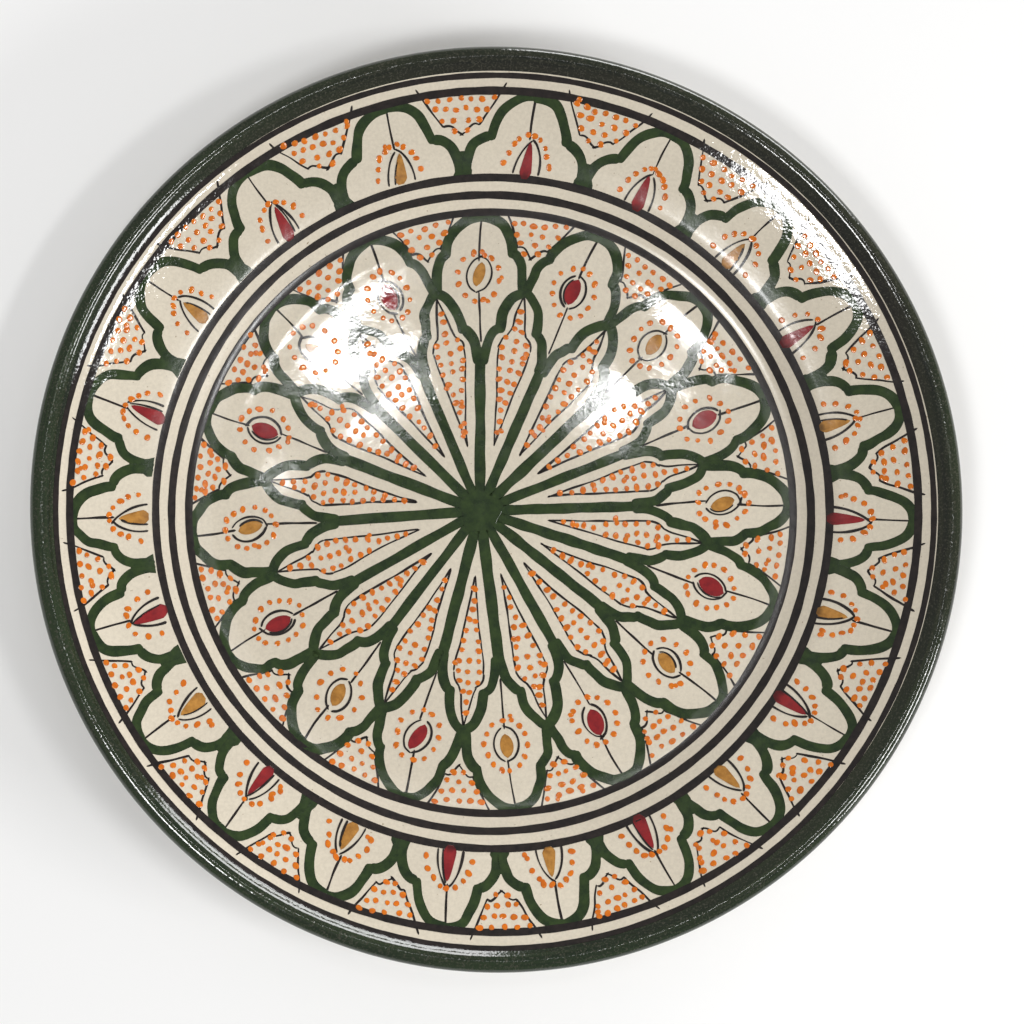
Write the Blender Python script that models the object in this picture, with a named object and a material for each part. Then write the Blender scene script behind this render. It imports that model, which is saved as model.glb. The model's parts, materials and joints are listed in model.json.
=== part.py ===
"""Hand-painted glazed plate, modelled as the layers that the real one is built up from.

A wheel-thrown clay body stands on a foot ring. A cream glaze coats the face, a dark green glaze
wraps the lip, and the back and the base have glazes of their own. On the face lie four painted
rings, a sixteen-petal medallion, a border of twenty-one petals, and a painted eye in every petal.

Lengths are in millimetres until a mesh is made. The plate's axis is Z, and the foot stands on z = 0.
"""

import math

import bmesh
import bpy

MM = 0.001

# Driving dimensions of the clay
PLATE_RADIUS = 160.0
FOOT_INNER_RADIUS = 70.0
FOOT_OUTER_RADIUS = 80.0
BASE_HEIGHT = 7.0
FLOOR_HEIGHT = 13.0
FLOOR_RADIUS = 102.0
LIP_RADIUS = 2.6
LIP_HEIGHT = 31.6

# Every coat lies a clearance away from what is under it
CLEARANCE = 0.3
COAT_THICKNESS = 0.7
PAINT_THICKNESS = 0.4
EYE_THICKNESS = 0.7
COAT_LIFT = CLEARANCE + COAT_THICKNESS
PAINT_LIFT = COAT_LIFT + CLEARANCE

# Where the coats of the face, the lip and the back meet
RIM_LINE_START = 150.5
RIM_LINE_END = 152.5
RIM_UNDER_END = 151.0
BACK_START = 83.0
BASE_GLAZE_RADIUS = 67.0

# Painted rings on the face, as middle radius and width
RING_RADII = (106.0, 111.8, 117.4, 146.3)
RING_WIDTH = 2.6

# The two painted lattices run from edge to edge of the bands that the rings leave
MEDALLION_RADIUS = 102.4
BORDER_INNER_RADIUS = RING_RADII[2] + RING_WIDTH / 2 + CLEARANCE
BORDER_OUTER_RADIUS = RING_RADII[3] - RING_WIDTH / 2 - CLEARANCE

MEDALLION_PETALS = 16
BORDER_PETALS = 21
# The painter spaced the petals by eye: each swing is (waves round the plate, degrees, phase)
MEDALLION_START = 3.3
MEDALLION_SWINGS = ((1, 2.5, 124.0), (3, 0.9, 91.0))
BORDER_START = 3.3
BORDER_SWINGS = ((1, 6.2, 161.0), (2, 2.4, 69.0), (3, 0.85, -48.0))
# Red and ochre eyes take turns, but two border petals next to each other are both red
BORDER_DOUBLE_RED = 5

# Half outlines of the cells between painted strokes, as (radius, share of the half gap)
MEDALLION_LEAF = (
    (12.5, 0.0), (20.0, 0.41), (50.0, 0.765), (57.5, 0.73), (59.8, 0.58), (61.5, 0.36),
    (66.0, 0.28), (75.0, 0.0),
)
MEDALLION_PETAL = (
    (60.8, 0.0), (64.0, 0.36), (69.0, 0.52), (79.0, 0.84), (84.0, 0.86), (87.4, 0.66),
    (88.6, 0.52), (92.0, 0.48), (97.0, 0.33), (100.0, 0.0),
)
MEDALLION_CORNER = (
    (87.0, 0.0), (90.6, 0.28), (93.0, 0.34), (98.5, 0.45), (104.5, 0.80), (105.0, 0.0),
)
BORDER_PETAL = (
    (117.0, 0.0), (117.0, 0.85), (123.0, 0.86), (128.0, 0.80), (130.4, 0.66), (131.0, 0.50),
    (134.5, 0.43), (139.0, 0.33), (142.0, 0.18), (142.8, 0.0),
)
BORDER_CORNER = (
    (130.8, 0.0), (132.6, 0.14), (133.8, 0.36), (138.5, 0.47), (142.5, 0.62), (146.6, 0.92), (147.0, 0.0),
)

# Eyes: radius of the middle, length along the petal and width across it
MEDALLION_EYE = (82.6, 11.0, 6.4)
BORDER_EYE = (124.4, 9.6, 3.4)
EYE_POINTS = 10

BODY_STEPS = 48
MEDALLION_STEPS = 48
BORDER_STEPS = 42

CLAY = (0.60, 0.33, 0.20)
CREAM = (0.74, 0.68, 0.56)
DARK_GREEN = (0.018, 0.040, 0.022)
LINE_GREEN = (0.030, 0.070, 0.030)
BROWN_BLACK = (0.028, 0.018, 0.018)
RED = (0.42, 0.030, 0.045)
OCHRE = (0.55, 0.27, 0.070)


def clear_scene():
    for item in list(bpy.data.objects):
        bpy.data.objects.remove(item, do_unlink=True)


def glaze(name, colour, roughness=0.15):
    material = bpy.data.materials.new(name)
    material.use_nodes = True
    shader = material.node_tree.nodes["Principled BSDF"]
    shader.inputs["Base Color"].default_value = (*colour, 1.0)
    shader.inputs["Roughness"].default_value = roughness
    shader.inputs["Metallic"].default_value = 0.0
    return material


def add_object(name, mesh, material):
    item = bpy.data.objects.new(name, mesh)
    mesh.materials.append(material)
    bpy.context.scene.collection.objects.link(item)
    return item


# The clay outline, and the coats that are offset from it

def clay_face():
    """The top of the clay, from the middle of the well to the start of the lip."""
    floor = FLOOR_HEIGHT
    return [
        (0.0, floor), (FLOOR_RADIUS, floor), (106.0, floor + 0.9), (112.0, floor + 4.3),
        (117.0, floor + 6.8), (121.0, floor + 8.2), (146.0, floor + 15.4), (150.5, floor + 17.0),
        (153.2, floor + 18.9),
    ]


def clay_lip():
    """The rolled lip, over its top and down its outside."""
    middle = PLATE_RADIUS - COAT_LIFT - LIP_RADIUS
    points = []
    for degrees in (125, 85, 45, 0, -40, -75):
        turn = math.radians(degrees)
        points.append((middle + LIP_RADIUS * math.cos(turn), LIP_HEIGHT + LIP_RADIUS * math.sin(turn)))
    return points


def clay_back():
    """The underside of the clay, from the lip to the middle of the base."""
    base = BASE_HEIGHT
    return [
        (153.0, base + 19.0), (146.0, base + 15.6), (121.0, base + 8.0), (112.0, base + 3.6),
        (104.0, base + 1.0), (96.0, base), (FOOT_OUTER_RADIUS, base), (0.0, base),
    ]


def offset_path(path, distance):
    """Move a path to its left-hand side as it runs, which is outwards from the clay."""
    moved = []
    for index, (radius, height) in enumerate(path):
        normals = []
        for start, end in ((index - 1, index), (index, index + 1)):
            if start < 0 or end >= len(path):
                continue
            run = path[end][0] - path[start][0]
            rise = path[end][1] - path[start][1]
            length = math.hypot(run, rise)
            normals.append((-rise / length, run / length))
        across = sum(normal[0] for normal in normals) / len(normals)
        up = sum(normal[1] for normal in normals) / len(normals)
        reach = distance / (across * across + up * up)
        moved.append((radius + across * reach, height + up * reach))
    return moved


def height_at(path, radius):
    """The height of a path at a radius, for a path that runs straight outwards or inwards."""
    for (near, low), (far, high) in zip(path, path[1:]):
        if min(near, far) <= radius <= max(near, far):
            return low + (high - low) * (radius - near) / (far - near)
    raise ValueError(radius)


def stretch(path, start, end):
    """The part of a path between two radii."""
    inside = [point for point in path if min(start, end) < point[0] < max(start, end)]
    return [(start, height_at(path, start)), *inside, (end, height_at(path, end))]


def lip_path(start, end):
    """Over the lip, from a radius on the face to one on the back."""
    face = stretch(clay_face(), start, clay_face()[-1][0])
    back = stretch(clay_back(), clay_back()[0][0], end)
    return face + clay_lip() + back


def turned(name, profile, closed, material, steps):
    """Turn a half section round the plate's axis with a Screw modifier."""
    mesh = bpy.data.meshes.new(name)
    edges = [(index, index + 1) for index in range(len(profile) - 1)]
    if closed:
        edges.append((len(profile) - 1, 0))
    mesh.from_pydata([(radius * MM, 0.0, height * MM) for radius, height in profile], edges, [])
    item = add_object(name, mesh, material)
    screw = item.modifiers.new("Turn", "SCREW")
    screw.steps = steps
    screw.render_steps = steps
    screw.use_merge_vertices = True
    screw.merge_threshold = 0.00001
    screw.use_smooth_shade = True
    return item


def coat(name, path, lift, thickness, material, steps=BODY_STEPS):
    """A layer of even thickness along a stretch of the clay's outline."""
    outer = offset_path(path, lift + thickness)
    inner = offset_path(path, lift)
    starts_on_axis = path[0][0] == 0.0
    ends_on_axis = path[-1][0] == 0.0
    if starts_on_axis:
        return turned(name, outer + inner[::-1], False, material, steps)
    if ends_on_axis:
        return turned(name, inner[::-1] + outer, False, material, steps)
    return turned(name, outer + inner[::-1], True, material, steps)


# The painted lattices: a coat of paint with its cells cut out

def petal_angles(count, start, swings):
    angles = []
    for index in range(count):
        even = 360.0 * index / count
        drift = start
        for waves, size, phase in swings:
            drift += size * math.cos(math.radians(waves * even + phase))
        angles.append(math.radians(even + drift))
    return angles


def gap_after(angles, index):
    """The angle from one petal to the next one round."""
    following = angles[(index + 1) % len(angles)]
    return (following - angles[index]) % math.tau


def cell_outline(half, middle, gap_before, gap_behind):
    """Mirror a half outline about its middle line, each side scaled to its own half gap."""
    left = [(radius, middle + share * gap_behind / 2) for radius, share in half]
    right = [(radius, middle - share * gap_before / 2) for radius, share in half[1:-1]]
    outline = left + right[::-1]
    return [(radius * math.cos(angle), radius * math.sin(angle)) for radius, angle in outline]


def add_prism(bm, outline, bottoms, tops):
    """Add a closed prism, with its own bottom and top height for each corner."""
    low = [bm.verts.new((x * MM, y * MM, z * MM)) for (x, y), z in zip(outline, bottoms)]
    high = [bm.verts.new((x * MM, y * MM, z * MM)) for (x, y), z in zip(outline, tops)]
    faces = [bm.faces.new(low[::-1]), bm.faces.new(high)]
    for index in range(len(outline)):
        after = (index + 1) % len(outline)
        faces.append(bm.faces.new((low[index], low[after], high[after], high[index])))
    return faces


def cut_cells(item, outlines):
    """Cut straight through a coat of paint along each outline."""
    bm = bmesh.new()
    for outline in outlines:
        add_prism(bm, outline, [0.0] * len(outline), [60.0] * len(outline))
    bmesh.ops.recalc_face_normals(bm, faces=bm.faces)
    mesh = bpy.data.meshes.new(item.name + "_cells")
    bm.to_mesh(mesh)
    bm.free()
    cutter = bpy.data.objects.new(mesh.name, mesh)
    bpy.context.scene.collection.objects.link(cutter)
    cutter.hide_render = True
    cutter.display_type = "WIRE"
    boolean = item.modifiers.new("Cells", "BOOLEAN")
    boolean.operation = "DIFFERENCE"
    boolean.solver = "EXACT"
    boolean.object = cutter


def lattice_cells(angles, petal, corner, leaf=None):
    """Outlines of a petal at each angle, and of the corners (and leaves) between the petals."""
    outlines = []
    for index, angle in enumerate(angles):
        before = gap_after(angles, index - 1)
        behind = gap_after(angles, index)
        outlines.append(cell_outline(petal, angle, before, behind))
        outlines.append(cell_outline(corner, angle + behind / 2, behind, behind))
        if leaf:
            outlines.append(cell_outline(leaf, angle + behind / 2, behind, behind))
    return outlines


def add_eye(name, angle, size, pointed_inside, material):
    """A pointed blob of enamel that lies along its petal's middle line."""
    middle, length, width = size
    outline = []
    for index in range(EYE_POINTS):
        turn = math.tau * index / EYE_POINTS
        along = math.cos(turn) * length / 2
        across = math.sin(turn) * width / 2
        if pointed_inside or along > 0:
            across *= abs(math.sin(turn)) ** 0.5
        radius = middle + along
        outline.append((
            radius * math.cos(angle) - across * math.sin(angle),
            radius * math.sin(angle) + across * math.cos(angle),
        ))
    ground = [height_at(clay_face(), math.hypot(x, y)) for x, y in outline]
    bm = bmesh.new()
    lows = [height + PAINT_LIFT for height in ground]
    tops = [height + PAINT_LIFT + EYE_THICKNESS for height in ground]
    add_prism(bm, outline, lows, tops)
    bmesh.ops.triangulate(bm, faces=[face for face in bm.faces if len(face.verts) > 4])
    bmesh.ops.recalc_face_normals(bm, faces=bm.faces)
    mesh = bpy.data.meshes.new(name)
    bm.to_mesh(mesh)
    bm.free()
    mesh.shade_smooth()
    mesh.set_sharp_from_angle(angle=math.radians(40))
    return add_object(name, mesh, material)


# Sub-parts

def make_clay_body():
    outline = clay_face() + clay_lip() + clay_back()
    return turned("clay_body", outline, False, glaze("clay", CLAY, 0.85), BODY_STEPS)


def make_foot_ring():
    top = BASE_HEIGHT - CLEARANCE
    inner, outer = FOOT_INNER_RADIUS, FOOT_OUTER_RADIUS
    profile = [
        (inner - 1.0, top), (outer, top), (outer - 0.4, 1.2), (outer - 1.6, 0.0),
        (inner + 1.6, 0.0), (inner + 0.4, 1.2),
    ]
    return turned("foot_ring", profile, True, glaze("foot_clay", CLAY, 0.9), BODY_STEPS)


def make_coats():
    face = stretch(clay_face(), 0.0, RIM_LINE_START - CLEARANCE)
    rim_line = stretch(clay_face(), RIM_LINE_START, RIM_LINE_END)
    rim = lip_path(RIM_LINE_END + CLEARANCE, RIM_UNDER_END)
    back = stretch(clay_back(), RIM_UNDER_END - CLEARANCE, BACK_START)
    base = stretch(clay_back(), BASE_GLAZE_RADIUS, 0.0)
    coat("face_glaze", face, CLEARANCE, COAT_THICKNESS, glaze("face_cream", CREAM))
    coat("rim_border_line", rim_line, CLEARANCE, COAT_THICKNESS, glaze("border_brown", BROWN_BLACK))
    coat("rim_glaze", rim, CLEARANCE, COAT_THICKNESS, glaze("rim_green", DARK_GREEN))
    coat("back_glaze", back, CLEARANCE, COAT_THICKNESS, glaze("back_cream", CREAM))
    coat("base_glaze", base, CLEARANCE, COAT_THICKNESS, glaze("base_cream", CREAM))


def make_rings():
    for index, middle in enumerate(RING_RADII):
        path = stretch(clay_face(), middle - RING_WIDTH / 2, middle + RING_WIDTH / 2)
        paint = glaze(f"ring_brown_{index + 1}", BROWN_BLACK)
        coat(f"painted_ring_{index + 1}", path, PAINT_LIFT, PAINT_THICKNESS, paint)


def make_medallion():
    angles = petal_angles(MEDALLION_PETALS, MEDALLION_START, MEDALLION_SWINGS)
    path = [(0.0, FLOOR_HEIGHT), (MEDALLION_RADIUS, FLOOR_HEIGHT)]
    paint = glaze("medallion_green", LINE_GREEN)
    disc = coat("medallion_tracery", path, PAINT_LIFT, PAINT_THICKNESS, paint, MEDALLION_STEPS)
    cut_cells(disc, lattice_cells(angles, MEDALLION_PETAL, MEDALLION_CORNER, MEDALLION_LEAF))
    for index, angle in enumerate(angles):
        colour = OCHRE if index % 2 == 0 else RED
        name = f"medallion_eye_{index + 1:02d}"
        add_eye(name, angle, MEDALLION_EYE, True, glaze(name, colour))


def make_border():
    angles = petal_angles(BORDER_PETALS, BORDER_START, BORDER_SWINGS)
    path = stretch(clay_face(), BORDER_INNER_RADIUS, BORDER_OUTER_RADIUS)
    paint = glaze("border_green", LINE_GREEN)
    band = coat("border_tracery", path, PAINT_LIFT, PAINT_THICKNESS, paint, BORDER_STEPS)
    cut_cells(band, lattice_cells(angles, BORDER_PETAL, BORDER_CORNER))
    for index, angle in enumerate(angles):
        red = (index % 2 == 0) == (index < BORDER_DOUBLE_RED)
        name = f"border_eye_{index + 1:02d}"
        add_eye(name, angle, BORDER_EYE, False, glaze(name, RED if red else OCHRE))


clear_scene()
make_clay_body()
make_foot_ring()
make_coats()
make_rings()
make_medallion()
make_border()
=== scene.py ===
"""Looks of the hand-painted glazed plate: smooth glazed surfaces, brush strokes, fine lines and
raised enamel dots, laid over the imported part.

Pattern sizes are in millimetres, and a mesh is scaled to metres when it is made. A petal's shapes
are given as (radius, share): share runs from 0 on the petal's own axis to 1 half way to its
neighbour. All pieces share the part's origin, so that every glaze has one continuous texture.
"""

import json
import math
import random

import bpy
import numpy as np
from mathutils import Matrix, Vector


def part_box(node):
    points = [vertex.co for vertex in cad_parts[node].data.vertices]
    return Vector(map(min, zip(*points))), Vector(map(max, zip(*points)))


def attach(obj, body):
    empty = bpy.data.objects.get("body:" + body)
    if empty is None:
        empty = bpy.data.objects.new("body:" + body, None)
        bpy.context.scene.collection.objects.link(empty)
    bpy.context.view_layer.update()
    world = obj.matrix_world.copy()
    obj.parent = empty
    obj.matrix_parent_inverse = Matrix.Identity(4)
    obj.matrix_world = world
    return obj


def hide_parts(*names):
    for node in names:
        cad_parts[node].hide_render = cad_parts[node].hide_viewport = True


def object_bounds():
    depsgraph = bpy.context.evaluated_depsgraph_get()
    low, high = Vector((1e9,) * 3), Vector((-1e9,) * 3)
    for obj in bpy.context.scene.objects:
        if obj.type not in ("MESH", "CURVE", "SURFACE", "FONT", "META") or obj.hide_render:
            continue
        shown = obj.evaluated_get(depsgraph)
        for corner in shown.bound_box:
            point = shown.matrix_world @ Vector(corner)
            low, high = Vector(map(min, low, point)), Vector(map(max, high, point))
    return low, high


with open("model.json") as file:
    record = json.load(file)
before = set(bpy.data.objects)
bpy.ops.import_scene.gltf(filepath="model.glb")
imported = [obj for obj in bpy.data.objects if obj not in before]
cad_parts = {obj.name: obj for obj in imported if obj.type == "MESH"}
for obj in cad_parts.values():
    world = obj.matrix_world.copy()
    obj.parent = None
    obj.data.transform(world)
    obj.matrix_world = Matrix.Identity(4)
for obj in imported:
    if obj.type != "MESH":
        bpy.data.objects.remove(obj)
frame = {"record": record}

cad_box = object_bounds()
MM = 0.001

# Sizes read from the part
PLATE_RADIUS = (cad_box[1][0] - cad_box[0][0]) / 2 / MM
TOP_HEIGHT = cad_box[1][2] / MM
LINE_WIDTH = 2.6
RING_NODES = tuple(f"painted_ring_{number}" for number in (1, 2, 3, 4))
RING_RADII = tuple(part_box(node)[1][0] / MM - LINE_WIDTH / 2 for node in RING_NODES)

# Hand-thrown irregularity: the plate is a little wider than it is deep, and its glaze undulates
OVAL_X = 1.0044
OVAL_Y = 0.9956

MEDALLION_COUNT = 16
BORDER_COUNT = 21


def node_angle(node):
    low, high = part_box(node)
    return math.atan2(low[1] + high[1], low[0] + high[0])


MEDALLION_EYES = [f"medallion_eye_{number:02d}" for number in range(1, MEDALLION_COUNT + 1)]
BORDER_EYES = [f"border_eye_{number:02d}" for number in range(1, BORDER_COUNT + 1)]
MEDALLION_ANGLES = [node_angle(node) for node in MEDALLION_EYES]
BORDER_ANGLES = [node_angle(node) for node in BORDER_EYES]


def eye_is_red(node):
    """The record says which eyes are red."""
    for subpart in frame["record"]["subparts"]:
        if subpart["node"] == node:
            return subpart["material_slot"] == "red_enamel"
    return False


# Surface of the plate

# (radius, height) of the glazed face, from the middle of the well to the inside of the lip
FACE_PROFILE = (
    (0, 14.0), (60, 14.0), (95, 14.02), (100, 14.35), (106, 15.1), (112, 18.35), (117, 20.85), (119, 21.72),
    (121, 22.3), (128, 24.15), (137, 26.6), (146, 29.5), (150.1, 31.0), (152.6, 32.7), (154.3, 34.45),
)
FACE_RADII, FACE_HEIGHTS = zip(*FACE_PROFILE)


def hermite(xs, ys, x):
    """Smooth curve through the points, level where they turn."""
    xs, ys, x = np.asarray(xs, float), np.asarray(ys, float), np.asarray(x, float)
    slopes = np.diff(ys) / np.diff(xs)
    tangents = np.concatenate(([slopes[0]], (slopes[1:] + slopes[:-1]) / 2, [slopes[-1]]))
    turning = np.concatenate(([False], slopes[1:] * slopes[:-1] <= 0, [False]))
    tangents[turning] = 0.0
    spot = np.clip(np.searchsorted(xs, x, side="right") - 1, 0, len(xs) - 2)
    width = xs[spot + 1] - xs[spot]
    t = np.clip((x - xs[spot]) / width, 0.0, 1.0)
    rise = 3 * t**2 - 2 * t**3
    enter = (t**3 - 2 * t**2 + t) * width
    leave = (t**3 - t**2) * width
    return ys[spot] * (1 - rise) + ys[spot + 1] * rise + tangents[spot] * enter + tangents[spot + 1] * leave


def face_height(radius):
    return hermite(FACE_RADII, FACE_HEIGHTS, radius)


# The painter didn't centre the plate on the wheel: (radius, shift along x, shift along y)
OFF_CENTRE = ((0, -2.4, -1.4), (106, -1.6, -0.95), (118, -1.3, -1.0), (146, -0.7, -1.0), (151, -0.4, -0.6))


def drift(table, radius):
    """The shift along x and y at a radius, from rows of (radius, shift along x, shift along y)."""
    radii, shift_x, shift_y = np.array(table, float).T
    return np.interp(radius, radii, shift_x), np.interp(radius, radii, shift_y)


def off_centre(points):
    """Move painted points in the plane of the plate to where the painter put them."""
    points = np.asarray(points, float)
    radius = np.hypot(points[..., 0], points[..., 1])
    return points + np.stack(drift(OFF_CENTRE, radius), -1)


# (radians per mm along x, radians per mm along y, height in mm, phase)
SWELLS = (
    (0.071, 0.034, 0.010, 0.3),
    (-0.043, 0.082, 0.008, 1.9),
    (0.128, -0.067, 0.004, 4.1),
    (0.091, 0.151, 0.003, 2.6),
)
# The swells fade in over these heights, so that the foot stays level
SWELL_START = 8.0
SWELL_RISE = 5.0


def warp(points):
    """Give every piece the same slight unevenness, and turn millimetres into metres."""
    points = np.array(points, float)
    x, y, z = points[:, 0], points[:, 1], points[:, 2]
    lift = np.zeros(len(points))
    for along_x, along_y, height, phase in SWELLS:
        lift += height * np.sin(along_x * x + along_y * y + phase)
    raised = np.clip((z - SWELL_START) / SWELL_RISE, 0.0, 1.0)
    points[:, 0] = x * OVAL_X
    points[:, 1] = y * OVAL_Y
    points[:, 2] = z + lift * raised
    return points * MM


class Shape:
    """Collects the points and faces of one piece."""

    def __init__(self):
        self.points = []
        self.faces = []
        self.tones = []
        self.size = 0

    def add(self, points, faces, tones=None):
        points = np.asarray(points, float)
        self.points.append(points)
        self.faces.extend([tuple(corner + self.size for corner in face) for face in faces])
        self.tones.append(np.ones(len(points)) if tones is None else np.asarray(tones, float))
        self.size += len(points)


SHARP_ANGLE = math.radians(25.0)


def make_piece(name, shape, material, nodes=()):
    mesh = bpy.data.meshes.new(name)
    mesh.from_pydata(warp(np.concatenate(shape.points)).tolist(), [], shape.faces)
    tone = mesh.attributes.new("tone", "FLOAT", "POINT")
    tone.data.foreach_set("value", np.concatenate(shape.tones))
    mesh.shade_smooth()
    mesh.set_sharp_from_angle(angle=SHARP_ANGLE)
    mesh.materials.append(material)
    piece = bpy.data.objects.new(name, mesh)
    bpy.context.scene.collection.objects.link(piece)
    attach(piece, "root")
    if nodes:
        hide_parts(*nodes)
    return piece


# Turned surfaces

TURN_STEPS = 480
ON_AXIS = 1e-6


def turned(profile):
    """A closed half section, turned round the axis. A point on the axis becomes one point."""
    shape = Shape()
    points, rings = [], []
    for radius, height in profile:
        if radius < ON_AXIS:
            rings.append([len(points)] * TURN_STEPS)
            points.append((0.0, 0.0, height))
            continue
        rings.append(list(range(len(points), len(points) + TURN_STEPS)))
        for step in range(TURN_STEPS):
            angle = math.tau * step / TURN_STEPS
            points.append((radius * math.cos(angle), radius * math.sin(angle), height))
    faces = []
    joined = list(zip(rings, rings[1:]))
    if profile[0][0] > ON_AXIS or profile[-1][0] > ON_AXIS:
        joined.append((rings[-1], rings[0]))
    for upper, lower in joined:
        for step in range(TURN_STEPS):
            after = (step + 1) % TURN_STEPS
            corners = [upper[step], lower[step], lower[after], upper[after]]
            face = [corner for place, corner in enumerate(corners) if corner not in corners[:place]]
            if len(face) > 2:
                faces.append(tuple(face))
    shape.add(points, faces)
    return shape


def face_path(start, end, count):
    """Evenly spaced points along the face's profile."""
    return [(radius, float(face_height(radius))) for radius in np.linspace(start, end, count)]


def rounded(points, steps=6):
    """Catmull-Rom curve through the points of an open path."""
    points = [np.asarray(point, float) for point in points]
    ends = [2 * points[0] - points[1], *points, 2 * points[-1] - points[-2]]
    curve = []
    for before, start, end, after in zip(ends, ends[1:], ends[2:], ends[3:]):
        for step in range(steps):
            t = step / steps
            curve.append(0.5 * (
                2 * start + (end - before) * t + (2 * before - 5 * start + 4 * end - after) * t**2
                + (3 * start - before - 3 * end + after) * t**3
            ))
    curve.append(points[-1])
    return curve


# The lip's top stays this far under the part's, to leave room for the swells
LIP_DROP = 0.05
LIP_RADIUS = 3.6
LIP_MIDDLE = (PLATE_RADIUS - LIP_RADIUS, TOP_HEIGHT - LIP_RADIUS - LIP_DROP)
LIP_DEGREES = range(128, -76, -8)
BACK_POINTS = (
    (156.8, 27.75), (153.2, 24.9), (146.0, 21.6), (134.0, 17.9), (121.0, 14.0), (112.5, 9.7),
    (104.5, 7.05), (96.0, 6.05), (88.0, 6.0), (83.0, 6.0),
)
FOOT_POINTS = (
    (80.0, 6.6), (79.7, 1.6), (78.9, 0.5), (77.4, 0.0), (75.0, 0.0), (72.6, 0.0), (71.1, 0.5), (70.3, 1.6),
    (69.6, 6.6),
)
COAT_THICKNESS = 0.7


def arc(middle, radius, turns):
    """Points at the given angles, in radians, round a middle."""
    return [(middle[0] + radius * math.cos(turn), middle[1] + radius * math.sin(turn)) for turn in turns]


def shell(path):
    """Close an outer path with a copy moved into the clay."""
    path = [np.asarray(point, float) for point in path]
    inner = []
    for index, point in enumerate(path):
        before, after = path[max(index - 1, 0)], path[min(index + 1, len(path) - 1)]
        run = after - before
        run = run / np.linalg.norm(run)
        inner.append(point + COAT_THICKNESS * np.array((run[1], -run[0])))
    return [tuple(point) for point in path + inner[::-1]]


# Brush strokes

PATH_SPACING = 0.5
EYE_SPACING = 0.35


def smooth_path(points, spacing=PATH_SPACING):
    """A curve through the points, with points about the same distance apart."""
    if len(points) == 2:
        curve = np.array(points, float)
    else:
        curve = np.array(rounded(points, 10))
    steps = np.linalg.norm(np.diff(curve, axis=0), axis=1)
    along = np.concatenate(([0.0], np.cumsum(steps)))
    count = max(4, int(along[-1] / spacing) + 1)
    even = np.linspace(0.0, along[-1], count)
    return np.stack([np.interp(even, along, curve[:, axis]) for axis in (0, 1)], 1)


# Across a stroke, from edge to edge: share of the half width, share of the crown, and tone
SECTION = np.array((-1.0, -0.97, -0.80, 0.0, 0.80, 0.97, 1.0))
SECTION_HEIGHT = np.array((-1.0, 1.0, 1.0, 1.0, 1.0, 1.0, -1.0))
SECTION_TONE = np.array((0.75, 0.78, 0.98, 1.03, 0.98, 0.78, 0.75))
BURIED = 0.25
STROKE_UNEVEN = 0.035
STROKE_WAVES = 4
STROKE_END_WIDTH = 0.15
STROKE_SWAY = 0.6
STROKE_TONE_SWING = 0.05


def add_stroke(
    shape, path, half_width, crown, lift, hand, taper=(1.0, 1.0), closed=False, uneven=STROKE_UNEVEN,
):
    """A raised stroke along a path. hand is a seeded random.Random that makes its edges uneven.

    taper is the length of the rounding at the stroke's start and end, in half widths.
    """
    path = np.asarray(path, float)
    count = len(path)
    if closed:
        tangent = np.roll(path, -1, axis=0) - np.roll(path, 1, axis=0)
    else:
        tangent = np.gradient(path, axis=0)
    tangent /= np.linalg.norm(tangent, axis=1)[:, None] + 1e-12
    across = np.stack([-tangent[:, 1], tangent[:, 0]], 1)
    along = np.concatenate(([0.0], np.cumsum(np.linalg.norm(np.diff(path, axis=0), axis=1))))
    widths = np.full(count, float(half_width))
    tone = np.ones(count)
    lap = along[-1] + np.linalg.norm(path[0] - path[-1])
    waves = []
    for _ in range(STROKE_WAVES):
        waves.append((hand.uniform(0.15, 0.75), hand.uniform(0, math.tau), hand.uniform(0.3, 1.0)))
    for rate, phase, size in waves:
        turns = rate if not closed else math.tau * round(rate * lap / math.tau) / lap
        swing = size * np.sin(turns * along + phase)
        widths += uneven * half_width * swing
        if not closed:
            path = path + across * (STROKE_SWAY * uneven * half_width * swing[::-1])[:, None]
            tone += STROKE_TONE_SWING * size * np.sin(0.6 * turns * along + 2 * phase)
    if not closed:
        reach_start = np.clip(along / (half_width * taper[0]), 0.0, 1.0)
        reach_end = np.clip((along[-1] - along) / (half_width * taper[1]), 0.0, 1.0)
        rounding = np.sqrt(1 - (1 - reach_start) ** 2) * np.sqrt(1 - (1 - reach_end) ** 2)
        widths *= STROKE_END_WIDTH + (1 - STROKE_END_WIDTH) * rounding
    top = path[:, None, :] + across[:, None, :] * (widths[:, None] * SECTION[None, :])[:, :, None]
    top = off_centre(top)
    ground = face_height(np.hypot(top[:, :, 0], top[:, :, 1]))
    heights = ground + lift + crown * SECTION_HEIGHT[None, :]
    bottom = top[:, [0, -1], :]
    deep = ground[:, [0, -1]] - BURIED
    upper = np.concatenate([top, heights[:, :, None]], 2)
    lower = np.concatenate([bottom[:, ::-1], deep[:, ::-1, None]], 2)
    points = np.concatenate([upper, lower], 1)
    tones = np.concatenate([tone[:, None] * SECTION_TONE[None, :], np.ones((count, 2))], 1)
    sides = len(SECTION) + 2
    faces = []
    for index in range(count if closed else count - 1):
        here, there = index * sides, (index + 1) % count * sides
        for side in range(sides):
            after = (side + 1) % sides
            faces.append((here + side, there + side, there + after, here + after))
    if not closed:
        faces.append(tuple(range(sides)))
        faces.append(tuple(reversed(range((count - 1) * sides, count * sides))))
    shape.add(points.reshape(-1, 3), faces, tones.reshape(-1))


# Blobs of enamel

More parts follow.
